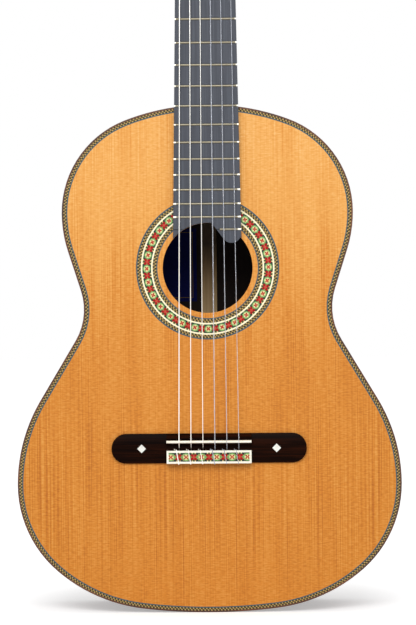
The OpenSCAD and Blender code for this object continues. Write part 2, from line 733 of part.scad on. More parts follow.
// Knot: from the trimmed end up the tie block's front, over its top to the rear, and into the tie hole
strand_lean = 2.6;      // how far the strand leans towards the bass side at the block's front
tail_lean = 1.6;        // how far the trimmed end leans on, past the strand
rear_lean = 0.6;        // and at the block's rear, before it enters its hole
saddle_bend = [45, 20, 0];
function string_path(n) = let (
    r = string_r(n), e = r + seat_gap,
    xs = string_x(n, saddle_spread), xn = string_x(n, nut_spread),
    xf = xs - strand_lean, xr = xs - rear_lean,
    front = -(tie_front - e), rear = -(bridge_rear + e), over = -(tie_top + e), near = -(tie_top + 0.75 * e),
    nut_y = -(fret_top + action_nut + r), bend = saddle_t / 2 + e, bend_y = -(saddle_h - saddle_t / 2),
    past_nut = nut_t + 0.4, top = to_head([xn, nut_y, past_nut]), a0 = touch_a(n, top))
    concat(
        [[xf - tail_lean - 0.3, -tie_top - 0.7, front + 0.9], [xf - tail_lean, -tie_top + 0.4, front],
         [xf - tail_lean + 0.3, -tie_top + 1.5, front], [xf - tail_lean / 2, -tie_top + 2.1, front],
         [xf - 0.3, -tie_top + 1.5, front], [xf, -tie_top + 0.6, front],
         [xf, near, -(tie_front - 0.75 * e)], [xf, over, -(tie_front + 0.5)],
         [xr, over, -(bridge_rear - 0.5)], [xr, near, -(bridge_rear + 0.75 * e)], [xr, -tie_top + 0.6, rear],
         [xs, -hole_h - 0.8, rear], [xs, -hole_h - 0.1, -(bridge_rear + 0.35 * e)], [xs, -hole_h, -(bridge_rear - 0.6)],
         [xs, -hole_h, -(tie_front - 0.2)]],
        [for (a = saddle_bend) [xs, bend_y - bend * cos(a), -(saddle_at + bend * sin(a))]],
        [[xn, nut_y, -0.4], [xn, nut_y, past_nut]],
        [for (k = [0 : wrap_steps]) let (a = a0 + wrap_turn * k / wrap_steps, q = wrap_r + r)
            from_head([landing_x(n), roller_y + q * sin(a), roller_z(n) + q * cos(a)])]);
function unit(v) = v / norm(v);
function tangent(path, i) = unit(i == 0 ? path[1] - path[0]
    : i == len(path) - 1 ? path[i] - path[i - 1]
    : unit(path[i] - path[i - 1]) + unit(path[i + 1] - path[i]));
function carried(path, i, v) = unit(v - (v * tangent(path, i)) * tangent(path, i));
function normals(path, i, v) = i == len(path) ? [] : let (w = carried(path, i, v)) concat([w], normals(path, i + 1, w));
string_sides = 8;
module tube(path, r) {
    ups = normals(path, 0, [1, 0.01, 0.02]);
    skin([for (i = [0 : len(path) - 1]) let (t = tangent(path, i), u = ups[i], v = cross(t, u))
        [for (k = [0 : string_sides - 1]) let (a = 360 * k / string_sides) path[i] + r * (cos(a) * u + sin(a) * v)]]);
}
module string(n) { color(n <= 3 ? "#d9d9cf" : silver) tube(string_path(n), string_r(n)); }

// ---- nut, saddle and bridge ----
module nut() {
    color(bone) difference() {
        translate([-nut_w / 2, -nut_h, 0]) cube([nut_w, nut_h, nut_t]);
        for (n = [1 : 6])
            translate([string_x(n, nut_spread) - string_r(n) - seat_gap, -nut_h - cut, -cut])
                cube([2 * (string_r(n) + seat_gap), 1 + cut + seat_gap, nut_t + 2 * cut]);
    }
}
slot_depth = 5;
rail_h = 8;             // height of the rail that holds the saddle
saddle_seat = rail_h - slot_depth;
module saddle() {
    color(bone) translate([-saddle_l / 2, 0, -saddle_at]) rotate([90, 0, 90]) linear_extrude(saddle_l)
        polygon(concat([[-saddle_seat, saddle_t / 2], [-saddle_seat, -saddle_t / 2]],
            [for (i = [0 : 8]) let (a = 180 * i / 8) [-(saddle_h - saddle_t / 2 + saddle_t / 2 * sin(a)), -saddle_t / 2 * cos(a)]]));
}
function rounded(w, h, r, n) = [for (q = [0 : 3]) for (i = [0 : n]) let (a = 90 * (q + i / n),
    sx = q == 0 || q == 3 ? 1 : -1, sy = q < 2 ? 1 : -1)
    [sx * (w / 2 - r) + r * cos(a), sy * (h / 2 - r) + r * sin(a)]];
wing_edge_h = 2;
wing_corner_r = bridge_w / 2 - 0.5;  // the ends are nearly half round
wing_rise = wing_h - wing_edge_h;
wing_crown_r = (pow(bridge_w / 2, 2) + pow(wing_rise, 2)) / (2 * wing_rise);
// The wings' arched section, front to back, as wide as the bridge and a little more
module under_crown(half) {
    translate([-half, 0, -bridge_mid]) rotate([90, 0, 90]) linear_extrude(2 * half)
        polygon(concat([[0, bridge_w], [0, -bridge_w]],
            [for (i = [-8 : 8]) let (v = i / 7 * bridge_w / 2) [-(sqrt(pow(wing_crown_r, 2) - v * v) - wing_crown_r + wing_h), v]]));
}
bridge_mid = (bridge_front + bridge_rear) / 2;
module bridge() {
    gully_h = 2.6;      // floor between the saddle's rail and the tie block
    color(rosewood) difference() {
        union() {
            intersection() {
                slab(-wing_h - cut, 0) translate([0, -bridge_mid]) polygon(rounded(bridge_l, bridge_w, wing_corner_r, 10));
                under_crown(bridge_l);
            }
            translate([-saddle_l / 2, 0, 0]) rotate([90, 0, 90]) linear_extrude(saddle_l)
                polygon([[0, -bridge_front], [-wing_edge_h - 1, -bridge_front], [-rail_h, -(saddle_at - saddle_t / 2 - 1.6)],
                    [-rail_h, -(saddle_at + saddle_t / 2 + 1.6)], [-gully_h, -(saddle_at + saddle_t / 2 + 3.2)],
                    [-gully_h, -tie_front], [-tie_block_h, -tie_front], [-tie_block_h, -bridge_rear], [0, -bridge_rear]]);
        }
        translate([-saddle_l / 2 - cut, -rail_h - cut, -saddle_at - saddle_t / 2]) cube([saddle_l + 2 * cut, slot_depth + cut, saddle_t]);
        for (n = [1 : 6])
            translate([string_x(n, saddle_spread), -hole_h, -bridge_rear - cut]) cylinder(h = tie_block_d + 2 * cut, r = tie_hole_r);
        wing_inlay_solids();
    }
}
cap_border = 2;
module tie_block_cap() {
    mid = (tie_front + bridge_rear) / 2;
    color(bone) slab(-tie_top, -tie_block_h) difference() {
        band(-saddle_l / 2, saddle_l / 2, tie_front, bridge_rear);
        band(-saddle_l / 2 + cap_border, saddle_l / 2 - cap_border, tie_front + cap_border, bridge_rear - cap_border);
    }
    color("#5a7a4a") slab(-tie_top, -tie_block_h)
        band(-saddle_l / 2 + cap_border, saddle_l / 2 - cap_border, tie_front + cap_border, bridge_rear - cap_border);
}
inlay_off = 24.5;       // from the saddle's end to the middle of the inlay
inlay_size = 6;
module wing_inlay_solids() {
    for (s = [-1, 1])
        slab(-wing_h, -wing_h + 1) translate([s * (saddle_l / 2 + inlay_off), -bridge_mid]) rotate(45) square(inlay_size, center = true);
}
module wing_inlays() {
    color(pearl) intersection() {
        wing_inlay_solids();
        under_crown(bridge_l);
    }
}

// ---- head ----
crest_at = 158;
crest_r = 21;
ear_r = 8.5;
flare_from = 4;         // where the head starts to widen
flare_l = 30;
flare_step = 3;
slot_z0 = first_roller_at - 15;
slot_z1 = first_roller_at + 2 * roller_pitch + 13;
function head_half(z) = nut_w / 2 + (head_w - nut_w) / 4 * (1 - cos(180 * max(0, min(1, (z - flare_from) / flare_l))));
function head_edge() = concat([for (z = [0 : flare_step : flare_from + flare_l]) [head_half(z), z]], [[head_w / 2, crest_at]]);
module head_shape() {
    polygon(concat(head_edge(), [for (i = [len(head_edge()) - 1 : -1 : 0]) [-head_edge()[i][0], head_edge()[i][1]]]));
    translate([0, crest_at + 3]) circle(crest_r);
    for (s = [-1, 1]) translate([s * (head_w / 2 - ear_r - 0.3), crest_at + 0.5]) circle(ear_r);
}
module slot_shape() {
    for (s = [-1, 1])
        translate([s * (slot_x0 + slot_w / 2), (slot_z0 + slot_z1) / 2])
            polygon(rounded(slot_w, slot_z1 - slot_z0, slot_w / 2 - 0.1, 8));
}
// Sloped end of a slot, which lets the strings dip below the face
ramp_l = 24;
module slot_ramps() {
    for (s = [-1, 1])
        translate([s * (slot_x0 + slot_w / 2) - slot_w / 2, 0, slot_z0]) rotate([90, 0, 90]) linear_extrude(slot_w)
            polygon([[-veneer_t - cut, -ramp_l - cut], [-veneer_t - cut, slot_w / 2], [head_t * 0.75, slot_w / 2], [head_t * 0.75, 0]]);
}
roller_in = 1.6;        // the rollers' inner ends stop this far from the centreline
roller_bore_r = roller_r + running_gap;
root_l = 24;            // the round neck turns into the square head over this length, where the head is glued on
function root_section(z) = [for (p = d_section(head_half(z), neck_t_nut + (head_t - neck_t_nut) * z / root_l,
    section_power + 24 * pow(z / root_l, 3))) from_head([p[0], p[1], z])];
module headstock() {
    color(mahogany) difference() {
        head_frame() slab(0, head_t) head_shape();
        head_frame() translate([-head_w, -cut, -head_w]) cube([2 * head_w, head_t + 2 * cut, head_w + root_l]);
        head_frame() {
            slab(-cut, head_t + cut) slot_shape();
            slot_ramps();
            for (n = [1 : 6])
                translate([machine_side(n) * roller_in, roller_y, roller_z(n)]) rotate([0, machine_side(n) * 90, 0])
                    cylinder(h = head_w, r = roller_bore_r);
            for (s = [-1, 1]) for (z = screw_z)
                translate([s * (head_w / 2 - screw_l), roller_y, z]) rotate([0, s * 90, 0])
                    cylinder(h = head_w, r = screw_r + threaded_gap);
        }
    }
}
module head_veneer() {
    color(rosewood) difference() {
        head_frame() difference() {
            slab(-veneer_t, 0) head_shape();
            slab(-veneer_t - cut, cut) slot_shape();
            slot_ramps();
        }
        translate([-head_w, -head_t, nut_t - 3 * head_t]) cube([2 * head_w, 3 * head_t, 3 * head_t]);
    }
}

// ---- tuning machines, drawn for the treble side and mirrored for the bass side ----
plate_x0 = head_w / 2;
plate_x1 = plate_x0 + plate_t;
thread_depth = 0.5;
worm_x = plate_x1 + worm_r + thread_depth + 0.4;
gear_t = 3;
mesh_gap = 0.05;
worm_drop = gear_r + worm_r + mesh_gap;     // the worm lies this far below its gear, towards the nut
worm_pitch = 2 * PI * gear_r / gear_teeth;
thread_turns = 3.5;
lug_t = 2.4;
lug_w = 6;
lug_y = worm_pitch * thread_turns / 2 + 0.4;    // distance of each lug from the gear's middle
screw_r = 1;
screw_l = 11;
screw_head_r = 2.2;
screw_z = [first_roller_at - worm_drop - 9.5, first_roller_at + roller_pitch * 0.43,
    first_roller_at + roller_pitch * 1.43, first_roller_at + roller_pitch * 2 + 13.5];
plate_w = 17;
plate_end = 4;
axle_r = 2;
module on_side(n) {
    if (machine_side(n) > 0) children();
    else mirror([1, 0, 0]) children();
}
module along_x(x0, x1) { translate([x0, 0, 0]) rotate([0, 90, 0]) linear_extrude(x1 - x0) children(); }
module tuner_plate(s) {
    z0 = screw_z[0] - plate_end;
    z1 = screw_z[3] + plate_end;
    color(brass) head_frame() mirror([s > 0 ? 0 : 1, 0, 0]) difference() {
        union() {
            translate([0, roller_y, (z0 + z1) / 2]) along_x(plate_x0, plate_x1)
                polygon(rounded(z1 - z0, plate_w, 5, 6));
            for (k = [0 : 2]) for (e = [-1, 1])
                translate([plate_x1 - 0.1, roller_y + (e > 0 ? lug_y : -lug_y - lug_t), first_roller_at + k * roller_pitch - worm_drop - lug_w / 2])
                    cube([worm_x - plate_x1 + 3, lug_t, lug_w]);
        }
        for (k = [0 : 2]) translate([0, roller_y, first_roller_at + k * roller_pitch]) {
            along_x(plate_x0 - cut, plate_x1 + cut) circle(axle_r + running_gap);
            translate([worm_x, -lug_y - lug_t - cut, -worm_drop]) rotate([-90, 0, 0])
                cylinder(h = 2 * (lug_y + lug_t + cut), r = shaft_r + running_gap);
        }
        for (z = screw_z) translate([0, roller_y, z]) along_x(plate_x0 - cut, plate_x1 + cut) circle(screw_r + 0.2);
    }
}
module plate_screws() {
    color(brass) head_frame() for (s = [0, 1]) for (z = screw_z)
        mirror([s, 0, 0]) translate([0, roller_y, z]) rotate([0, 90, 0]) {
            translate([0, 0, plate_x0 - screw_l + 0.5]) cylinder(h = screw_l + plate_t, r = screw_r);
            translate([0, 0, plate_x1]) cylinder(h = 1.3, r1 = screw_head_r, r2 = screw_head_r * 0.65);
        }
}
button_gap = 2.6;       // between the head's back and the buttons
button_l = 14;          // along the shaft
button_y = head_t + button_gap + button_l / 2;
collar_r = 2.6;
shaft_front = roller_y - lug_y - lug_t - 0.8;
module at_worm(n) {
    head_frame() on_side(n) translate([worm_x, 0, roller_z(n) - worm_drop]) children();
}
module worm(n) {
    color(silver) at_worm(n) {
        translate([0, shaft_front, 0]) rotate([-90, 0, 0]) cylinder(h = button_y - shaft_front, r = shaft_r);
        translate([0, roller_y + lug_y + lug_t + 0.2, 0]) rotate([-90, 0, 0]) difference() {
            cylinder(h = 1.6, r = collar_r);
            translate([0, 0, -cut]) cylinder(h = 4, r = shaft_r);
        }
    }
    color(silver) at_worm(n) translate([0, roller_y, 0]) difference() {
        skin([for (i = [thread_slices : -1 : 0]) thread_section(-thread_l / 2 + thread_l * i / thread_slices)]);
        translate([0, -thread_l, 0]) rotate([-90, 0, 0]) cylinder(h = 2 * thread_l, r = shaft_r * 1.07, $fn = 12);
    }
}
// The thread is a round bar whose centre circles the shaft once every pitch
thread_l = worm_pitch * thread_turns;
thread_slices = 28;
thread_sides = 12;
thread_phase = 270;     // a groove faces the gear at rest
function thread_section(y) = let (a = 360 * y / worm_pitch + thread_phase)
    [for (k = [0 : thread_sides - 1]) let (b = 360 * k / thread_sides)
        [thread_depth * cos(a) + worm_r * cos(b), y, thread_depth * sin(a) + worm_r * sin(b)]];
function button_profile(n) = [for (i = [0 : n]) let (a = -90 + 180 * i / n)
    [pow(max(cos(a), 0), 0.75) * button_w / 2, sin(a) * button_t / 2]];
module button(n) {
    color(pearl) at_worm(n) difference() {
        union() {
            intersection() {
                translate([0, button_y, 0]) rotate([0, 90, 0]) rotate_extrude() polygon(button_profile(14));
                translate([-button_w, button_y - button_l / 2, -button_w]) cube([2 * button_w, button_l, 2 * button_w]);
            }
            translate([0, button_y - button_l / 2 - 1.8, 0]) rotate([-90, 0, 0]) cylinder(h = 6, r1 = 2.8, r2 = 3.4);
        }
        translate([0, button_y - button_l, 0]) rotate([-90, 0, 0]) cylinder(h = button_l, r = shaft_r);
    }
}
tooth_a = 360 / gear_teeth;
gear_tip = gear_r + 0.4;
gear_root = gear_r - 0.65;
gear_phase = 0;
function tooth(k) = let (a = tooth_a * k + gear_phase) [
    [gear_root, a - tooth_a * 0.33], [gear_tip, a - tooth_a * 0.08],
    [gear_tip, a + tooth_a * 0.08], [gear_root, a + tooth_a * 0.33]];
module at_roller(n) { head_frame() on_side(n) translate([0, roller_y, roller_z(n)]) children(); }
gear_x0 = worm_x - gear_t / 2;
gear_x1 = worm_x + gear_t / 2;
module gear(n) {
    color(brass) at_roller(n) {
        along_x(gear_x0, gear_x1) difference() {
            polygon([for (k = [0 : gear_teeth - 1]) for (p = tooth(k)) p[0] * [-cos(p[1]), sin(p[1])]]);
            circle(axle_r * 1.05, $fn = 12);
        }
        translate([gear_x1 + threaded_gap, 0, 0]) rotate([0, 90, 0]) cylinder(h = 1.5, r1 = 2.9, r2 = 1.9);
        translate([gear_x1 - 5, 0, 0]) rotate([0, 90, 0]) cylinder(h = 5.1, r = 1);
    }
}
coil_turns = 3;
module roller(n) {
    color(bone) at_roller(n) difference() {
        rotate([0, 90, 0]) union() {
            translate([0, 0, roller_in + 0.3]) cylinder(h = plate_x0 - 0.5 - roller_in, r = roller_r);
            translate([0, 0, roller_in + 1]) cylinder(h = gear_x1 - roller_in - 1, r = axle_r);
            translate([0, 0, plate_x1 + 0.2]) cylinder(h = gear_x0 - plate_x1 - 0.2, r = axle_r + 1);
        }
        translate([gear_x1 - 5.2, 0, 0]) rotate([0, 90, 0]) cylinder(h = 6, r = 1 + threaded_gap);
        translate([abs(landing_x(n)) + coil_dir(n) * (string_d[n - 1] * (coil_turns + 1.5) + wrap_gap), 0, -roller_r - cut]) cylinder(h = 2 * (roller_r + cut), r = 0.9);
    }
    // the turns already wound on, next to where the string lands
    color(n <= 3 ? "#d9d9cf" : silver) at_roller(n) rotate([0, 90, 0])
        for (k = [1 : coil_turns])
            translate([0, 0, abs(landing_x(n)) + coil_dir(n) * (string_d[n - 1] * k + wrap_gap)])
                rotate_extrude() translate([roller_r + string_r(n) + threaded_gap, 0]) circle(string_r(n) * 0.98);
}
function coil_dir(n) = n == 3 || n == 4 ? 1 : -1;

soundboard();
rosette();
soundhole_ring();
top_braces();
back_panels();
back_inlay_strip();
back_braces();
back_seam_strip();
side(-1);  // side_bass
side(1);  // side_treble
linings();
neck();
headstock();
head_veneer();
heel_cap();
tail_block();
bindings();
top_purfling();
end_graft();
fretboard();
frets();
nut();
saddle();
bridge();
tie_block_cap();
wing_inlays();
label();
tuner_plate(-1);  // tuner_plate_bass
tuner_plate(1);  // tuner_plate_treble
plate_screws();
string(1);  // string_1
string(2);  // string_2
string(3);  // string_3
string(4);  // string_4
string(5);  // string_5
string(6);  // string_6
button(1);  // button_1
button(2);  // button_2
button(3);  // button_3
button(4);  // button_4
button(5);  // button_5
button(6);  // button_6
worm(1);  // worm_1
worm(2);  // worm_2
worm(3);  // worm_3
worm(4);  // worm_4
worm(5);  // worm_5
worm(6);  // worm_6
gear(1);  // gear_1
gear(2);  // gear_2
gear(3);  // gear_3
gear(4);  // gear_4
gear(5);  // gear_5
gear(6);  // gear_6
roller(1);  // roller_1
roller(2);  // roller_2
roller(3);  // roller_3
roller(4);  // roller_4
roller(5);  // roller_5
roller(6);  // roller_6
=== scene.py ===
import math

import bpy
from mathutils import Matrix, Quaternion, Vector


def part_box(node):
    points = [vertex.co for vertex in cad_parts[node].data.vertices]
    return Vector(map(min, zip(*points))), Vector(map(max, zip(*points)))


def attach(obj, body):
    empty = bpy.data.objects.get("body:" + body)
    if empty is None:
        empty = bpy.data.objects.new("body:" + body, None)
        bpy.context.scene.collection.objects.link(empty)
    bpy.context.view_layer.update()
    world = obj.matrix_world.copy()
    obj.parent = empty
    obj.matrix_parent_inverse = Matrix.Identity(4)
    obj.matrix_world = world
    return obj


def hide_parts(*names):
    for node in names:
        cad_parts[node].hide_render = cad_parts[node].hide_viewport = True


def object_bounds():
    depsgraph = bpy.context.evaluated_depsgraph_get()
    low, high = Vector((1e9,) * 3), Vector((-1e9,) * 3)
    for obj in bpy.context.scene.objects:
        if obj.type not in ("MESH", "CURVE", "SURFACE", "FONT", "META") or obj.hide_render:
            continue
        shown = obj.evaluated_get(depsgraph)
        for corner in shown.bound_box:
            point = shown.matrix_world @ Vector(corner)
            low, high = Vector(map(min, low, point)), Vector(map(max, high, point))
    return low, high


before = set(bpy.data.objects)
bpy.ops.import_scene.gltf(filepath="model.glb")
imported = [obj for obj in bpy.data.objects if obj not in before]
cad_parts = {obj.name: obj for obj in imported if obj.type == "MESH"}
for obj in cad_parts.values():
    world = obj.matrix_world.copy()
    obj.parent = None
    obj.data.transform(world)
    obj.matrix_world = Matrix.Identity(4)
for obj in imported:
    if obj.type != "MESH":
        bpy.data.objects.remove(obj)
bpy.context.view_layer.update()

# ---- Soundboard ----
# Two book-matched boards of western red cedar, 2.4 mm thick, joined on the centreline and polished to a
# thin satin film. The grain runs straight down the board, and faint silk crosses it where it is quartered.
MM = 0.001              # named sizes are in millimetres, and the scene is in metres
WELD = 0.001            # points nearer to each other than this become one
SHARP = 32              # faces that meet at fewer degrees than this look like one curved face


def linear(code):
    """A colour written in sRGB hex, as the linear colour that a socket takes."""
    parts = [int(code[i:i + 2], 16) / 255 for i in (1, 3, 5)]
    return tuple(p / 12.92 if p <= 0.04045 else ((p + 0.055) / 1.055) ** 2.4 for p in parts) + (1.0,)


def add(tree, kind, sockets=None, **settings):
    """One node. A socket takes a value, another node's output, or a node, which gives its first output."""
    made = tree.nodes.new(kind)
    for key, value in settings.items():
        setattr(made, key, value)
    for key, value in (sockets or {}).items():
        if isinstance(value, bpy.types.Node):
            value = value.outputs[0]
        if isinstance(value, bpy.types.NodeSocket):
            tree.links.new(value, made.inputs[key])
        else:
            made.inputs[key].default_value = value
    return made


def calc(tree, operation, *values):
    """One step of arithmetic, on one to three values."""
    return add(tree, "ShaderNodeMath", dict(enumerate(values)), operation=operation)


def remap(tree, value, low, high, new_low, new_high, **settings):
    """A value that runs from low to high, carried to a new range."""
    sockets = {0: value, 1: low, 2: high, 3: new_low, 4: new_high}
    return add(tree, "ShaderNodeMapRange", sockets, **settings)


def marks(tree, place, size, detail, **more):
    """Noise whose marks are that many millimetres long in x, y and z."""
    scaled = add(tree, "ShaderNodeMapping", {"Vector": place, "Scale": tuple(1 / (mm * MM) for mm in size)})
    return add(tree, "ShaderNodeTexNoise", {"Vector": scaled, "Scale": 1.0, "Detail": detail, **more})


def ramp(tree, value, *stops):
    """The colour at a value, between stops that are each a position and a colour."""
    made = add(tree, "ShaderNodeValToRGB", {0: value})
    elements = made.color_ramp.elements
    while len(elements) < len(stops):
        elements.new(1.0)
    for element, (at, colour) in zip(elements, stops):
        element.position = at
        element.color = linear(colour)
    return made.outputs[0]


def start_finish(name, **values):
    """A new material: the material, its tree, and the place on the object in metres."""
    material = bpy.data.materials.new(name)
    material.use_nodes = True
    tree = material.node_tree
    for key, value in values.items():
        tree.nodes["Principled BSDF"].inputs[key.replace("_", " ")].default_value = value
    return material, tree, add(tree, "ShaderNodeTexCoord").outputs["Object"]


def paint(tree, colour, relief=None, strength=0.0, depth=0.0):
    """Gives the shader its colour and, where there is one, a pattern's relief, that many millimetres deep."""
    shader = tree.nodes["Principled BSDF"]
    tree.links.new(colour, shader.inputs["Base Color"])
    if relief is not None:
        bump = add(tree, "ShaderNodeBump", {"Height": relief, "Strength": strength, "Distance": depth * MM})
        tree.links.new(bump.outputs[0], shader.inputs["Normal"])


def soften():
    """Joins a solid's faces, and shades them round where they meet at a small angle."""
    tree = bpy.data.node_groups.new("rounded_shading", "GeometryNodeTree")
    tree.interface.new_socket("Geometry", in_out="INPUT", socket_type="NodeSocketGeometry")
    tree.interface.new_socket("Geometry", in_out="OUTPUT", socket_type="NodeSocketGeometry")
    solid = add(tree, "NodeGroupInput")
    bare = add(tree, "GeometryNodeRemoveAttribute", {"Geometry": solid, "Name": "custom_normal"})
    joined = add(tree, "GeometryNodeMergeByDistance", {"Geometry": bare, "Distance": WELD * MM})
    angle = add(tree, "GeometryNodeInputMeshEdgeAngle").outputs["Unsigned Angle"]
    gentle = add(tree, "FunctionNodeCompare", {"A": angle, "B": math.radians(SHARP)}, operation="LESS_THAN")
    faces = add(tree, "GeometryNodeSetShadeSmooth", {"Geometry": joined, "Shade Smooth": True},
                domain="FACE")
    edges = add(tree, "GeometryNodeSetShadeSmooth", {"Geometry": faces, "Shade Smooth": gentle},
                domain="EDGE")
    add(tree, "NodeGroupOutput", {"Geometry": edges})
    return tree


rounded = soften()


def dress(material, *names):
    """Gives CAD nodes their finish and rounded shading."""
    for name in names:
        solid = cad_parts[name]
        for slot in solid.material_slots:
            slot.material = material
        solid.modifiers.new("rounded shading", "NODES").node_group = rounded


# Western red cedar, planed, sealed and rubbed out: warm and even, with little shine.
cedar, tree, place = start_finish("rubbed_cedar", Roughness=0.5, IOR=1.5, Specular_IOR_Level=0.3)
split = add(tree, "ShaderNodeSeparateXYZ", {"Vector": place}).outputs
from_joint = calc(tree, "ABSOLUTE", split["X"])
matched = add(tree, "ShaderNodeCombineXYZ", {"X": from_joint, "Y": split["Y"], "Z": split["Z"]})
# annual rings 1 to 2 mm apart, drawn as streaks that hold their line for 200 mm
rings = marks(tree, matched, (1.1, 60, 200), 1.0, Roughness=0.6)
# patches where the rings are strong, and others where they hardly show
patches = marks(tree, place, (22, 60, 130), 1.0)
ring_reach = remap(tree, patches, 0.35, 0.65, 0.45, 0.95)
ring_tone = calc(tree, "MULTIPLY", calc(tree, "SUBTRACT", rings, 0.5), ring_reach)
patch_tone = remap(tree, patches, 0.3, 0.7, 0.06, -0.06)
# silk: short wavy marks across the grain, some 1.2 mm high and 5 mm long
silk = marks(tree, place, (5, 60, 1.2), 1.0, Distortion=0.5)
silk_tone = remap(tree, silk, 0.3, 0.7, -0.13, 0.13)
# painted light and sheen: the board is painted paler towards the neck, where the lamp lights it more
painted_light_tone = remap(tree, split["Z"], -0.60, -0.36, 0.36, 0.72, interpolation_type="SMOOTHSTEP")
tone = ring_tone
for part in (patch_tone, silk_tone, painted_light_tone):
    tone = calc(tree, "ADD", tone, part)
wood = ramp(tree, tone, (0.0, "#a95c10"), (0.36, "#cd7f24"), (0.72, "#e1a04d"), (1.0, "#edb973"))
paint(tree, wood, rings, strength=0.12, depth=0.05)
dress(cedar, "soundboard")

# ---- Rosette ----
# Five rings let into the cedar round the sound hole: chequered sticks of dyed wood between plain lines of
# maple. Each tile is the end of a stick 0.6 to 0.9 mm wide, glued up in logs, sliced and bent to the ring.
HOLE_AT = 482.5         # from the nut to the middle of the sound hole
RING_RADII = (49.0, 53.65, 55.15, 63.65, 65.15, 69.85)
INNER_EDGE, OUTER_EDGE = 1.0, 1.3       # widths of the blue-grey lines at the rosette's two edges
PROUD = -0.02           # the tiles stand that little above the cedar
INLAY_DEPTH = 1.4
MOTIFS = 28
MOTIF_STICKS = 20       # sticks along one motif
FLOWER_ROWS = 13        # sticks across the flowers
ROPE_ROWS = 4           # sticks across a rope
INNER_STICKS, OUTER_STICKS = 400, 528   # sticks round the two ropes
LINE_STEPS = 180        # a line of maple is bent in that many short steps
TINT_SIZE = 0.7         # size of a patch that has one tint


def blend(tree, share, first, second):
    """The colour between two, each a hex code or a node's output."""
    ends = [linear(colour) if isinstance(colour, str) else colour for colour in (first, second)]
    return add(tree, "ShaderNodeMix", {0: share, 6: ends[0], 7: ends[1]}, data_type="RGBA").outputs[2]


def dyed(name, colour, shade):
    """Dyed maple cut across the stick, sanded and sealed: flat colour that shifts a little stick by stick."""
    material, tree, place = start_finish(name, Roughness=0.45, IOR=1.5, Specular_IOR_Level=0.12)
    patches = {"Vector": place, "Scale": 1 / (TINT_SIZE * MM), "Randomness": 0.9}
    tint = add(tree, "ShaderNodeTexVoronoi", patches).outputs["Color"]
    paint(tree, blend(tree, tint, colour, shade))
    return material


WOODS = [dyed(*wood) for wood in (
    ("bleached_maple", "#fff9da", "#f4e8be"), ("cream_maple", "#f2e3a8", "#e0cd8c"),
    ("green_dyed_maple", "#5c9450", "#7cae66"), ("pale_green_dyed_maple", "#a9bf7c", "#c3cf96"),
    ("red_dyed_maple", "#960a14", "#aa1a1a"), ("rose_dyed_maple", "#bc3a2c", "#cc5540"),
    ("bottle_green_dyed_maple", "#1f2d28", "#2e4238"), ("olive_dyed_maple", "#3f4426", "#565430"),
    ("black_dyed_maple", "#0e0d0b", "#1c1a15"), ("blue_grey_dyed_maple", "#3c5058", "#50646c"),
    ("straw_maple", "#cfae6e", "#b4945a"), ("tan_maple", "#8c744a", "#76623e"))]
MAPLE, CREAM, GREEN, PALE_GREEN, RED, ROSE, LEAF, OLIVE, BLACK, GREY, STRAW, TAN = range(12)

# The motif's sizes, as shares of half the width of its band. The ring and the cross in it are measured from
# the ring's middle, and the flower from its own middle, half way between two rings.
RING_R, PALE_R, FIELD_R = 0.95, 0.74, 0.6
CROSS_AT, CROSS_R, HEART_R = 0.29, 0.22, 0.2
PETAL_U, PETAL_Y, PETAL_R = 0.42, 0.4, 0.34
LEAF_U, LEAF_Y, LEAF_R = 0.76, 0.74, 0.33
RIM_Y, RIM_MARK = 0.78, 0.12
CORE_U, CORE_Y, TWIG_Y = 0.34, 0.5, 0.3


def flower_stick(along, across, middle, repeat):
    """The wood of one stick: a green ring round a red cross, or four petals between dark leaves."""
    x = min(along % repeat, repeat - along % repeat) / middle
    y = abs(across - middle) / middle
    reach = math.hypot(x, y)
    if reach < FIELD_R:
        if math.hypot(x - CROSS_AT, y - CROSS_AT) < CROSS_R:
            return RED
        return ROSE if reach < HEART_R else CREAM
    if reach < RING_R:
        return GREEN if reach > PALE_R else PALE_GREEN
    u = repeat / 2 / middle - x
    if math.hypot(u - PETAL_U, y - PETAL_Y) < PETAL_R:
        return RED
    if math.hypot(u - LEAF_U, y - LEAF_Y) < LEAF_R:
        return LEAF
    if y > RIM_Y:
        if abs(u - PETAL_U) < RIM_MARK:
            return CREAM
        return LEAF if u > PETAL_U else OLIVE
    if u < CORE_U:
        return ROSE if y < CORE_Y else OLIVE
    return GREEN if y < TWIG_Y else STRAW


def rope(i, j):
    """The wood of one stick in a rope of four rows, whose second pair is two sticks further on."""
    return (BLACK, OLIVE if j % 2 else TAN, STRAW, TAN if j % 2 else OLIVE)[(i + 2 * (j // 2)) % 4]


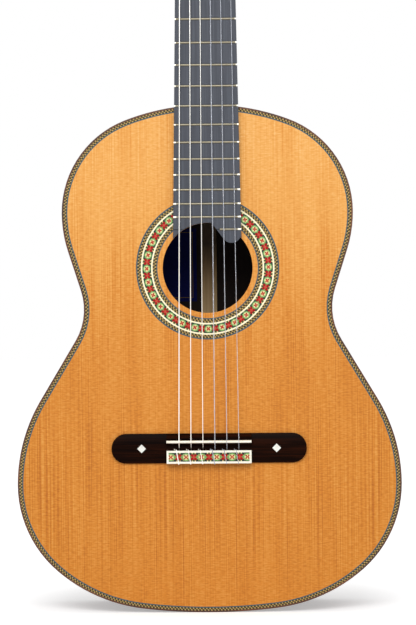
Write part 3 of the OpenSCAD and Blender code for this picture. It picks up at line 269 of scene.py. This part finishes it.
def lay(name, rows, wood_at, closed, top=PROUD, bottom=INLAY_DEPTH, woods=WOODS):
    """An inlay as one solid with a face for each tile. rows[j][i] is a corner's (x, z), and wood_at(i, j)
    picks the wood of a tile. A closed inlay runs on from its last points to its first."""
    count, last = len(rows[0]), len(rows) - 1
    points = [(x * MM, top * MM, z * MM) for row in rows for x, z in row]
    under = len(points)
    points += [(x * MM, bottom * MM, z * MM) for row in (rows[0], rows[-1]) for x, z in row]
    edge, far_under = last * count, under + count
    faces, picks = [], []
    for i in range(count if closed else count - 1):
        n = (i + 1) % count
        for j in range(last):
            faces.append((j * count + i, j * count + n, (j + 1) * count + n, (j + 1) * count + i))
            picks.append(wood_at(i, j))
        # the two sides, then the underside
        for face, j in (((n, i, under + i, under + n), 0),
                        ((edge + i, edge + n, far_under + n, far_under + i), last - 1),
                        ((under + n, under + i, far_under + i, far_under + n), 0)):
            faces.append(face)
            picks.append(wood_at(i, j))
    if not closed:
        # the two ends
        for i, flip in ((0, 1), (count - 1, -1)):
            end = [j * count + i for j in range(last + 1)] + [under + count + i, under + i]
            faces.append(tuple(end[::flip]))
            picks.append(wood_at(min(i, count - 2), 0))
    mesh = bpy.data.meshes.new(name)
    mesh.from_pydata(points, [], faces)
    for wood in woods:
        mesh.materials.append(wood)
    mesh.polygons.foreach_set("material_index", picks)
    mesh.update()
    made = bpy.data.objects.new(name, mesh)
    bpy.context.scene.collection.objects.link(made)
    return made


def ring_rows(radii, columns):
    """Circles round the sound hole, as rows of points."""
    turns = [2 * math.pi * i / columns for i in range(columns)]
    return [[(r * math.cos(turn), -HOLE_AT + r * math.sin(turn)) for turn in turns] for r in radii]


def spaced(start, end, steps):
    """Values from start to end in equal steps, with both ends."""
    return [start + (end - start) * i / steps for i in range(steps + 1)]


r = RING_RADII
for name, radii, columns, wood_at in (
        ("rosette_inner_band", [r[0]] + spaced(r[0] + INNER_EDGE, r[1], ROPE_ROWS), INNER_STICKS,
         lambda i, j: rope(i, j - 1) if j else GREY),
        ("rosette_inner_line", r[1:3], LINE_STEPS, lambda i, j: MAPLE),
        ("rosette_flowers", spaced(r[2], r[3], FLOWER_ROWS), MOTIFS * MOTIF_STICKS,
         lambda i, j: flower_stick(i, j, (FLOWER_ROWS - 1) / 2, MOTIF_STICKS)),
        ("rosette_outer_line", r[3:5], LINE_STEPS, lambda i, j: MAPLE),
        ("rosette_outer_band", spaced(r[4], r[5] - OUTER_EDGE, ROPE_ROWS) + [r[5]], OUTER_STICKS,
         lambda i, j: rope(i, j) if j < ROPE_ROWS else GREY)):
    ring = lay(name, ring_rows(radii, columns), wood_at, closed=True)
    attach(ring, "guitar")
    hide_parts("rosette")

# ---- Braces, linings and blocks ----
# Quarter-sawn spruce, split and planed, glued inside and left bare: fan braces and bars under the top,
# the ring round the hole, three bars and a seam strip on the back, small lining blocks and the tail block.
# Spruce left from the plane: pale, dry and matt, with a fine dark line for each winter.
spruce, tree, place = start_finish("planed_spruce", Roughness=0.75, IOR=1.5)
years = marks(tree, place, (30, 1.6, 60), 3.0, Roughness=0.6)
wood = ramp(tree, years, (0.3, "#b98f58"), (0.5, "#d6b27c"), (0.7, "#e2c592"))
paint(tree, wood, years, strength=0.2, depth=0.1)
dress(spruce, "soundhole_ring", "top_braces", "back_braces", "linings", "tail_block")
# The seam strip is older stock, browner than the rest, and painted darker towards the neck as painted shade,
# where the top keeps the light off it.
seam_wood, tree, place = start_finish("old_spruce", Roughness=0.8, IOR=1.5)
height = add(tree, "ShaderNodeSeparateXYZ", {"Vector": place}).outputs["Z"]
years = marks(tree, place, (1.2, 20, 90), 3.0)
# painted shade: the strip's colour darkens towards the neck, under the edge of the top
tone = calc(tree, "MULTIPLY", remap(tree, height, -0.53, -0.456, 0.75, 0.02), years)
paint(tree, ramp(tree, tone, (0.0, "#33230f"), (0.2, "#a08259"), (0.5, "#bba277")))
dress(seam_wood, "back_seam_strip")

# ---- Back, sides and bindings ----
# Indian rosewood, bent over a hot iron for the sides and arched for the two-piece back, with a maple strip
# down the middle and an end graft to match. Grain-filled and lacquered to a deep gloss.
GLOSS, COAT = 0.26, 0.35                # roughness and lacquer of the back and sides
FINE_SHARE = 0.28                       # how much of the colour follows the fine streaks


def rosewood(name, size, dark, middle, light, **values):
    """Rosewood with streaks that many millimetres across, deep and long, and finer streaks among them."""
    material, tree, place = start_finish(name, **values)
    wide = marks(tree, place, size, 3.0, Distortion=0.6)
    # a fine streak is a sixth as wide as the others, which are under 30 mm there, and a third as long
    fine = marks(tree, place, [mm / 6 if mm < 30 else mm / 3 for mm in size], 2.0)
    tone = calc(tree, "MULTIPLY_ADD", fine, FINE_SHARE, calc(tree, "MULTIPLY", wide, 1 - FINE_SHARE))
    wood = ramp(tree, tone, (0.36, dark), (0.5, middle), (0.66, light))
    paint(tree, wood, fine, strength=0.08, depth=0.05)
    return material


# Streaks of the back run down the body, those of the sides and bindings follow the bend.
back_wood, side_wood = (
    rosewood(f"lacquered_rosewood_{part}", size, "#24110b", "#482214", "#6e3a20", Roughness=GLOSS, IOR=1.5,
             Specular_IOR_Level=0.35, Coat_Weight=COAT, Coat_Roughness=0.06)
    for part, size in (("back", (7, 60, 260)), ("side", (160, 6, 160))))
binding_wood = rosewood("lacquered_rosewood_binding", (60, 2.5, 60), "#3a1e10", "#573018", "#6e4224",
                        Roughness=0.3, IOR=1.5, Specular_IOR_Level=0.3, Coat_Weight=0.3, Coat_Roughness=0.08)
dress(back_wood, "back_panels")
# The back's inside face was only scraped: rough, dry and without lacquer, and painted dark as painted shade
# for the little light that reaches inside.
tree = back_wood.node_tree
shader = tree.nodes["Principled BSDF"]
facing = add(tree, "ShaderNodeSeparateXYZ", {"Vector": add(tree, "ShaderNodeTexCoord").outputs["Normal"]})
lacquered = calc(tree, "GREATER_THAN", facing.outputs["Y"], -0.5)
# painted shade: the inside face is painted near black, while the outside keeps the rosewood's colour
paint(tree, blend(tree, lacquered, "#140a06", tree.nodes["Color Ramp"].outputs[0]))
for socket, bare, finished in (("Roughness", 0.95, GLOSS), ("Coat Weight", 0.0, COAT)):
    tree.links.new(remap(tree, lacquered, 0, 1, bare, finished).outputs[0], shader.inputs[socket])
dress(side_wood, "side_bass", "side_treble")
dress(binding_wood, "bindings")
# Flamed maple under the same lacquer: pale, with ripples across the strip some 4 mm apart.
maple_strip, tree, place = start_finish("lacquered_maple", Roughness=0.25, IOR=1.5, Coat_Weight=0.6,
                                        Coat_Roughness=0.06)
flame = marks(tree, place, (12, 4, 4), 2.0)
paint(tree, ramp(tree, flame, (0.3, "#b98c50"), (0.55, "#d3ab70"), (0.75, "#e2c490")))
dress(maple_strip, "back_inlay_strip", "end_graft")

# ---- Top purfling ----
# A ribbon let in beside the binding, 3.9 mm wide: chequered sticks of black, straw and brown wood, with a
# blue-grey line on the side of the cedar. It is glued up straight and bent round the edge with heat.
PURFLING_W = 3.9
PURFLING_EDGE = 1.1     # width of the blue-grey line
PURFLING_STICK = 0.8    # length of a stick along the ribbon
NECK_GAP = 28.2         # from the centreline to the ribbon's two ends beside the neck
# The body's edge is drawn in the same arcs as the solid's. Its half widths and places down the body are
# those of the upper bout, the waist and the lower bout, and the radii follow each other from the neck.
BODY_TOP, BODY_LENGTH = 323.3, 495
BODY_END = BODY_TOP + BODY_LENGTH
UPPER_HALF, WAIST_HALF, LOWER_HALF = 142, 121.05, 187.3
UPPER_AT, WAIST_AT, LOWER_AT = (BODY_TOP + share * BODY_LENGTH for share in (0.2118, 0.4012, 0.7474))
SHOULDER_R, HIP_R, WAIST_R, FLANK_R, CORNER_R, RUN_R = 96.5, 122, 60, 160, 111, 156.5
CORNER_TURN = 49        # degrees that the corner's arc turns, before the flatter run to the tail
SEGMENT = 8.0           # longest straight of the solid's outline
SIDE_T = 1.6


def end_arc(h, x, radius):
    """Radius of the arc over the body's end, which meets an arc whose middle is x out and h from the end."""
    return (h * h + x * x - radius * radius) / (2 * (h - radius))


def heading(a, b):
    """The direction from one point to another, in degrees."""
    return math.degrees(math.atan2(b[1] - a[1], b[0] - a[0]))


def inner_tangent(a, ra, b, rb, side):
    """The direction from a circle's middle to where the straight that crosses over to another leaves it."""
    return heading(a, b) + side * math.degrees(math.acos((ra + rb) / math.dist(a, b)))


shoulder, hip = (UPPER_HALF - SHOULDER_R, UPPER_AT), (UPPER_HALF - HIP_R, UPPER_AT)
waist = (WAIST_HALF + WAIST_R, WAIST_AT)
flank, corner = (LOWER_HALF - FLANK_R, LOWER_AT), (LOWER_HALF - CORNER_R, LOWER_AT)
turned = math.radians(CORNER_TURN)
run = (corner[0] + (CORNER_R - RUN_R) * math.cos(turned), corner[1] + (CORNER_R - RUN_R) * math.sin(turned))
top_r = end_arc(UPPER_AT - BODY_TOP, shoulder[0], SHOULDER_R)
tail_r = end_arc(BODY_END - run[1], run[0], RUN_R)
top_mid, tail_mid = (0, BODY_TOP + top_r), (0, BODY_END - tail_r)
upper_turn = inner_tangent(hip, HIP_R, waist, WAIST_R, -1)
lower_turn = inner_tangent(flank, FLANK_R, waist, WAIST_R, 1)
# an arc's middle, radius, first and last direction, and 1 where the body bulges or -1 where it is hollow
ARCS = [(top_mid, top_r, -90, heading(top_mid, shoulder), 1),
        (shoulder, SHOULDER_R, heading(top_mid, shoulder), 0, 1),
        (hip, HIP_R, 0, upper_turn, 1),
        (waist, WAIST_R, upper_turn + 180, lower_turn + 180, -1),
        (flank, FLANK_R, lower_turn, 0, 1),
        (corner, CORNER_R, 0, CORNER_TURN, 1),
        (run, RUN_R, CORNER_TURN, heading(tail_mid, run), 1),
        (tail_mid, tail_r, heading(tail_mid, run), 90, 1)]
AFTER_STRAIGHT = (0, 3, 4)      # arcs whose first point isn't the last one of the arc before


def half_outline(inset):
    """The treble half of the body's edge, that far inwards, from the neck to the tail."""
    points = []
    for k, ((cx, cd), radius, first, final, bulge) in enumerate(ARCS):
        steps = max(2, math.ceil(abs(final - first) * math.pi / 180 * radius / SEGMENT))
        reach = radius - bulge * inset
        for i in range(0 if k in AFTER_STRAIGHT else 1, steps + 1):
            turn = math.radians(first + (final - first) * i / steps)
            points.append((cx + reach * math.cos(turn), -(cd + reach * math.sin(turn))))
    return points


def purfling_row(inset):
    """The line that far inside the edge, from the neck, round the tail, and back to the neck."""
    half = half_outline(inset)
    start = next(i for i, point in enumerate(half) if point[0] > NECK_GAP)
    a, b = half[start - 1], half[start]
    cut = (NECK_GAP - a[0]) / (b[0] - a[0])
    half = [(NECK_GAP, a[1] + cut * (b[1] - a[1]))] + half[start:]
    return half + [(-x, z) for x, z in half[-2::-1]]


def divide(path, counts):
    """Each straight of the path in that many equal steps."""
    out = [path[0]]
    for (x0, z0), (x1, z1), count in zip(path, path[1:], counts):
        out += [(x0 + (x1 - x0) * i / count, z0 + (z1 - z0) * i / count) for i in range(1, count + 1)]
    return out


insets = spaced(SIDE_T, SIDE_T + PURFLING_W - PURFLING_EDGE, ROPE_ROWS) + [SIDE_T + PURFLING_W]
paths = [purfling_row(inset) for inset in insets]
counts = [max(1, round(math.dist(a, b) / PURFLING_STICK)) for a, b in zip(paths[0], paths[0][1:])]
purfling = lay("purfling_ribbon", [divide(path, counts) for path in paths],
               lambda i, j: rope(i, j) if j < ROPE_ROWS else GREY, closed=False)
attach(purfling, "guitar")
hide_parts("top_purfling")

# ---- Label ----
# A sheet of dark blue paper glued to the back under the sound hole, left blank, with a thin gilt border
# printed 3.5 mm inside its edge.
BORDER_AT, BORDER_HALF = 3.9, 0.4       # from the sheet's edge to the border's middle, and half its width


def past_end(tree, value, low, high):
    """How far a value lies past the nearer end of a range, and less than nothing inside it."""
    from_middle = calc(tree, "ABSOLUTE", calc(tree, "SUBTRACT", value, (low + high) / 2))
    return calc(tree, "SUBTRACT", from_middle, (high - low) / 2)


low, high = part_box("label")
label_paper, tree, place = start_finish("blue_label_paper", Roughness=0.8, IOR=1.45, Specular_IOR_Level=0.1)
split = add(tree, "ShaderNodeSeparateXYZ", {"Vector": place}).outputs
across, along = past_end(tree, split["X"], low.x, high.x), past_end(tree, split["Z"], low.z, high.z)
gilt = calc(tree, "COMPARE", calc(tree, "MAXIMUM", across, along), -BORDER_AT * MM, BORDER_HALF * MM)
fibre = marks(tree, place, (2, 2, 2), 4.0)
paint(tree, blend(tree, gilt, blend(tree, fibre, "#070b3a", "#0c1350"), "#5a4728"))
dress(label_paper, "label")

# ---- Neck and head ----
# Spanish cedar, carved: the round neck with its heel, and the slotted head glued on at the nut. Pores show
# as short dark dashes along the grain under a satin lacquer. The head's face and the heel cap are rosewood.
neck_wood, tree, place = start_finish("lacquered_neck_cedar", Roughness=0.34, IOR=1.5, Specular_IOR_Level=0.3,
                                      Coat_Weight=0.2, Coat_Roughness=0.15)
streaks = marks(tree, place, (5, 5, 180), 3.0)
pores = marks(tree, place, (0.5, 0.5, 7), 1.0)
wood = ramp(tree, streaks, (0.3, "#6d3a20"), (0.5, "#8a4e2b"), (0.7, "#a3653a"))
dashes = remap(tree, pores, 0.36, 0.46, 0.55, 0.0)
paint(tree, blend(tree, dashes, wood, "#3d1f12"), pores, strength=0.1, depth=0.05)
dress(neck_wood, "neck", "headstock")
veneer_wood = rosewood("lacquered_rosewood_veneer", (5, 40, 160), "#1d0e0a", "#3a1b12", "#5a2e1c",
                       Roughness=0.24, IOR=1.5, Specular_IOR_Level=0.3, Coat_Weight=0.4, Coat_Roughness=0.05)
dress(veneer_wood, "head_veneer", "heel_cap")

# ---- Fretboard and frets ----
# Ebony 6 mm thick, planed and oiled, glued over the neck and the top; its colour is painted slate grey all
# over, a painted sheen for the light that skims it. Nickel-silver frets are hammered into saw cuts, filed
# flush at the ends and polished.
TAPER = 325             # from the nut to where the board's width is last measured
NUT_HALF, FAR_HALF = 26, 31             # half its width at those two places
END_HIGHLIGHT = 1.2             # length of the painted highlight at each end of a fret
ebony, tree, place = start_finish("oiled_ebony", Roughness=0.5, IOR=1.5, Specular_IOR_Level=0.15)
streaks = marks(tree, place, (2.2, 20, 90), 4.0, Roughness=0.6)
# painted sheen: the board's colour is slate grey, standing in for the light that skims the dark ebony
wood = ramp(tree, streaks, (0.3, "#43464d"), (0.5, "#4b4e56"), (0.7, "#53575f"))
paint(tree, wood, streaks, strength=0.15, depth=0.05)
dress(ebony, "fretboard")


def metal(name, colour, shade, size, **values):
    """Polished metal with fine scratches and a slight tarnish, in marks that many millimetres long."""
    material, tree, place = start_finish(name, Metallic=1.0, **values)
    spots = marks(tree, place, size, 3.0)
    paint(tree, blend(tree, spots, colour, shade), spots, strength=0.1, depth=0.02)
    return material


# Nickel silver, polished along the wire: bright, with a warm cast.
fret_metal = metal("nickel_silver_wire", "#827c6c", "#6a6455", (6, 1, 1), Roughness=0.35)
# The ends, at the board's edges, are painted bright: a painted highlight where the wire's ends catch the
# light.
tree = fret_metal.node_tree
place = add(tree, "ShaderNodeTexCoord").outputs["Object"]
split = add(tree, "ShaderNodeSeparateXYZ", {"Vector": place}).outputs
board_edge = remap(tree, split["Z"], -TAPER * MM, 0.0, FAR_HALF * MM, NUT_HALF * MM)
from_edge = calc(tree, "SUBTRACT", board_edge, calc(tree, "ABSOLUTE", split["X"]))
end_highlight = calc(tree, "LESS_THAN", from_edge, END_HIGHLIGHT * MM)
wire = tree.nodes["Principled BSDF"].inputs["Base Color"].links[0].from_socket
# painted highlight: the last stretch of each fret is painted near white
paint(tree, blend(tree, end_highlight, wire, "#cfccc0"))
dress(fret_metal, "frets")

# ---- Nut and saddle ----
# Bleached bone, sawn, filed and buffed: cream white with faint pores. The saddle stands loose in the
# bridge's slot, and the nut is held at the end of the fretboard by the strings.
bone, tree, place = start_finish("buffed_bone", Roughness=0.3, IOR=1.54)
pores = marks(tree, place, (3, 0.8, 0.8), 3.0)
paint(tree, ramp(tree, pores, (0.3, "#e9e2c9"), (0.55, "#f7f3e4"), (0.8, "#fdfaf0")))
dress(bone, "nut", "saddle")

# ---- Bridge ----
# Rosewood almost black with polish, carved from one block: arched wings, a rail slotted for the saddle, and
# a tie block drilled for the strings. A small square of pearl, turned on its corner, is let into each wing.
bridge_wood = rosewood("polished_bridge_rosewood", (90, 3, 3), "#0a0302", "#150703", "#2a1006",
                       Roughness=0.35, IOR=1.5, Specular_IOR_Level=0.02)
dress(bridge_wood, "bridge")
# Mother of pearl, ground flush: white that drifts to pink and green in small clouds.
pearl, tree, place = start_finish("mother_of_pearl", Roughness=0.15, IOR=1.53, Coat_Weight=0.6,
                                  Coat_Roughness=0.05)
clouds = marks(tree, place, (2.5, 2.5, 2.5), 3.0, Distortion=1.2)
paint(tree, ramp(tree, clouds, (0.3, "#cfc6c8"), (0.45, "#e8e4da"), (0.6, "#dfe6df"), (0.75, "#f4efe6")))
dress(pearl, "wing_inlays")

# ---- Tie-block cap ----
# A veneer on the tie block where the strings cross it: the flower mosaic again, laid straight, in a frame
# of bone 2 mm wide that keeps the strings from cutting into the edges.
CAP_HALF, CAP_BORDER = 41.25, 2.0
TIE_FRONT, TIE_REAR = 660.1, 672.7      # from the nut to the cap's two long edges
CAP_TOP, CAP_UNDER = -8.6, -7.4
CAP_STICKS, CAP_ROWS, CAP_REPEAT = 158, 17, 30
columns = [-CAP_HALF] + spaced(-CAP_HALF + CAP_BORDER, CAP_HALF - CAP_BORDER, CAP_STICKS) + [CAP_HALF]
cap_rows = [TIE_REAR] + spaced(TIE_REAR - CAP_BORDER, TIE_FRONT + CAP_BORDER, CAP_ROWS) + [TIE_FRONT]
BONE = len(WOODS)


def cap_wood(i, j):
    """Bone round the edge, and inside it the mosaic, with the middle of a flower in the middle of the cap."""
    if i in (0, CAP_STICKS + 1) or j in (0, CAP_ROWS + 1):
        return BONE
    return flower_stick(i - 0.5 - CAP_STICKS / 2 + CAP_REPEAT / 2, j - 1, (CAP_ROWS - 1) / 2, CAP_REPEAT)


cap = lay("tie_block_mosaic", [[(x, -d) for x in columns] for d in cap_rows], cap_wood, closed=False,
          top=CAP_TOP, bottom=CAP_UNDER, woods=WOODS + [bone])
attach(cap, "guitar")
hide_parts("tie_block_cap")

# ---- Strings ----
# Three trebles of clear nylon and three basses of nylon floss wound with silver-plated copper. Each is
# knotted over the tie block, crosses the saddle and the nut, and winds on its roller.
WINDING = 0.8           # from turn to turn as drawn; on a real string it is some 0.3 mm
# Extruded nylon: clear, slightly milky, and bright where it catches the light.
nylon, tree, place = start_finish("clear_nylon", Roughness=0.12, IOR=1.53, Transmission_Weight=0.68)
haze = marks(tree, place, (2, 2, 30), 1.0)
paint(tree, blend(tree, haze, "#e2e6f0", "#f0f3fa"))
dress(nylon, "string_1", "string_2", "string_3")
# Silver-plated winding wire: bright, with a rib for each turn, and painted shade a little darker between the
# turns.
wound, tree, place = start_finish("silver_plated_winding", Roughness=0.3, Metallic=1.0)
# at a scale of 1 this texture has pi / 10 metres from crest to crest
waves = {"Vector": place, "Scale": math.pi / 10 / (WINDING * MM), "Distortion": 0.0}
ribs = add(tree, "ShaderNodeTexWave", waves, wave_type="BANDS", bands_direction="Z").outputs["Fac"]
# painted shade: the colour is a shade darker in the grooves between turns
paint(tree, blend(tree, ribs, "#f4f1ea", "#fffdf8"), ribs, strength=0.4, depth=0.05)
dress(wound, "string_4", "string_5", "string_6")

# ---- Tuning machines ----
# A brass plate on each side of the head carries three worms. Each worm turns a gear riveted to the end of a
# roller, and a pearl button on its shaft is the key. Plates, gears and screws are lacquered brass.
KEYS = range(1, 7)
plate_brass = metal("lacquered_brass", "#d9b368", "#b98f47", (12, 12, 12), Roughness=0.28)
dress(plate_brass, "tuner_plate_bass", "tuner_plate_treble", "plate_screws", *(f"gear_{n}" for n in KEYS))
# Plated steel for the worms and their shafts: hard, bright and colder than the brass.
worm_steel = metal("plated_steel", "#d2d0ca", "#a8a6a0", (3, 1, 3), Roughness=0.22)
dress(worm_steel, *(f"worm_{n}" for n in KEYS))
# Moulded pearl celluloid for the buttons: soft clouds under a polished skin.
celluloid, tree, place = start_finish("pearl_celluloid", Roughness=0.18, IOR=1.5, Coat_Weight=0.5,
                                      Coat_Roughness=0.05)
clouds = marks(tree, place, (5, 5, 5), 3.0, Distortion=2.0)
paint(tree, ramp(tree, clouds, (0.3, "#c9c2b4"), (0.5, "#e9e4d6"), (0.7, "#f6f2e8")))
dress(celluloid, *(f"button_{n}" for n in KEYS))
# Cast nylon rollers, cream coloured and satin, with the wound turns of the string on them.
roller_cast, tree, place = start_finish("cast_roller", Roughness=0.4, IOR=1.53)
specks = marks(tree, place, (1.5, 1.5, 1.5), 2.0)
paint(tree, blend(tree, specks, "#e6dfc9", "#f1ecdc"))
dress(roller_cast, *(f"roller_{n}" for n in KEYS))

# ---- Floor, light and camera ----
# A white studio: a matt floor that shows white to the camera but keeps the shadow under the tail, an even
# white surround, one wide lamp in front and above, and a long lens level with the body.
# All sizes of this section are in metres.
FLOOR_HALF = 12
OVAL_BACK, OVAL_SQUASH = 0.05, 0.6      # the oval's middle behind the soundboard, and its depth by its width
GLOW_FROM, GLOW_TO = 0.07, 0.2          # the glow grows from the first distance to the second
GLOW_LOW, GLOW_FULL = 0.38, 0.62
LAMP, LIT = (-0.1, -2.1, 0.75), (0, 0, -0.45)       # where the lamp hangs and what it points at
EYE, LOOK_AT = (0.04, -2.2, -0.526), (0.0, 0, -0.526)
LEAN = -0.5                             # degrees that the camera leans to one side


def in_view(tree):
    """1 for what the camera sees, straight, mirrored or through nylon, and 0 for what only gives light."""
    rays = add(tree, "ShaderNodeLightPath").outputs
    direct = calc(tree, "MAXIMUM", rays["Is Camera Ray"], rays["Is Glossy Ray"])
    return calc(tree, "MAXIMUM", direct, rays["Is Transmission Ray"])


floor_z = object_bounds()[0].z
mesh = bpy.data.meshes.new("studio_floor")
mesh.from_pydata([(x * FLOOR_HALF, y * FLOOR_HALF, 0) for x, y in ((-1, -1), (1, -1), (1, 1), (-1, 1))],
                 [], [(0, 1, 2, 3)])
floor = bpy.data.objects.new("studio_floor", mesh)
floor.location.z = floor_z
bpy.context.scene.collection.objects.link(floor)
# Matt white paint. A glow that only shows to the camera grows with the distance from the body, in an oval,
# so the floor turns fully white there while the shadow close to the tail stays.
white, tree, place = start_finish("matt_white_floor", Base_Color=linear("#f4f4f4"), Roughness=0.9,
                                  Specular_IOR_Level=0.0)
oval = add(tree, "ShaderNodeMapping",
           {"Vector": place, "Location": (0, -OVAL_BACK, 0), "Scale": (OVAL_SQUASH, 1, 1)})
away = add(tree, "ShaderNodeVectorMath", {0: oval}, operation="LENGTH").outputs["Value"]
level = remap(tree, away, GLOW_FROM, GLOW_TO, GLOW_LOW, GLOW_FULL)
lift = calc(tree, "MULTIPLY", in_view(tree), level)
glow = add(tree, "ShaderNodeEmission", {"Strength": lift})
both = add(tree, "ShaderNodeAddShader", {0: tree.nodes["Principled BSDF"].outputs[0], 1: glow})
tree.links.new(both.outputs[0], tree.nodes["Material Output"].inputs["Surface"])
mesh.materials.append(white)

# The surround shows full white, and lights the scene at half of that.
world = bpy.data.worlds.new("white_studio")
bpy.context.scene.world = world
world.use_nodes = True
tree = world.node_tree
surround = tree.nodes["Background"].inputs
tree.links.new(remap(tree, in_view(tree), 0, 1, 0.5, 1.0).outputs[0], surround["Strength"])
surround["Color"].default_value = (1, 1, 1, 1)

lamp = bpy.data.lights.new("wide_lamp", "AREA")
lamp.shape = "RECTANGLE"
lamp.size, lamp.size_y = 1.6, 1.2
lamp.energy = 40
hung = bpy.data.objects.new("wide_lamp", lamp)
bpy.context.scene.collection.objects.link(hung)
hung.location = LAMP
hung.rotation_euler = (Vector(LIT) - hung.location).to_track_quat("-Z", "Y").to_euler()

camera = bpy.data.cameras.new("camera")
camera.sensor_fit = "VERTICAL"
camera.sensor_height = 36
camera.lens = 130
camera.clip_end = 60
eye = bpy.data.objects.new("camera", camera)
bpy.context.scene.collection.objects.link(eye)
eye.location = EYE
straight = (Vector(LOOK_AT) - eye.location).to_track_quat("-Z", "Y")
eye.rotation_euler = (straight @ Quaternion((0, 0, 1), math.radians(LEAN))).to_euler()
bpy.context.scene.camera = eye
bpy.context.scene.view_settings.view_transform = "Standard"
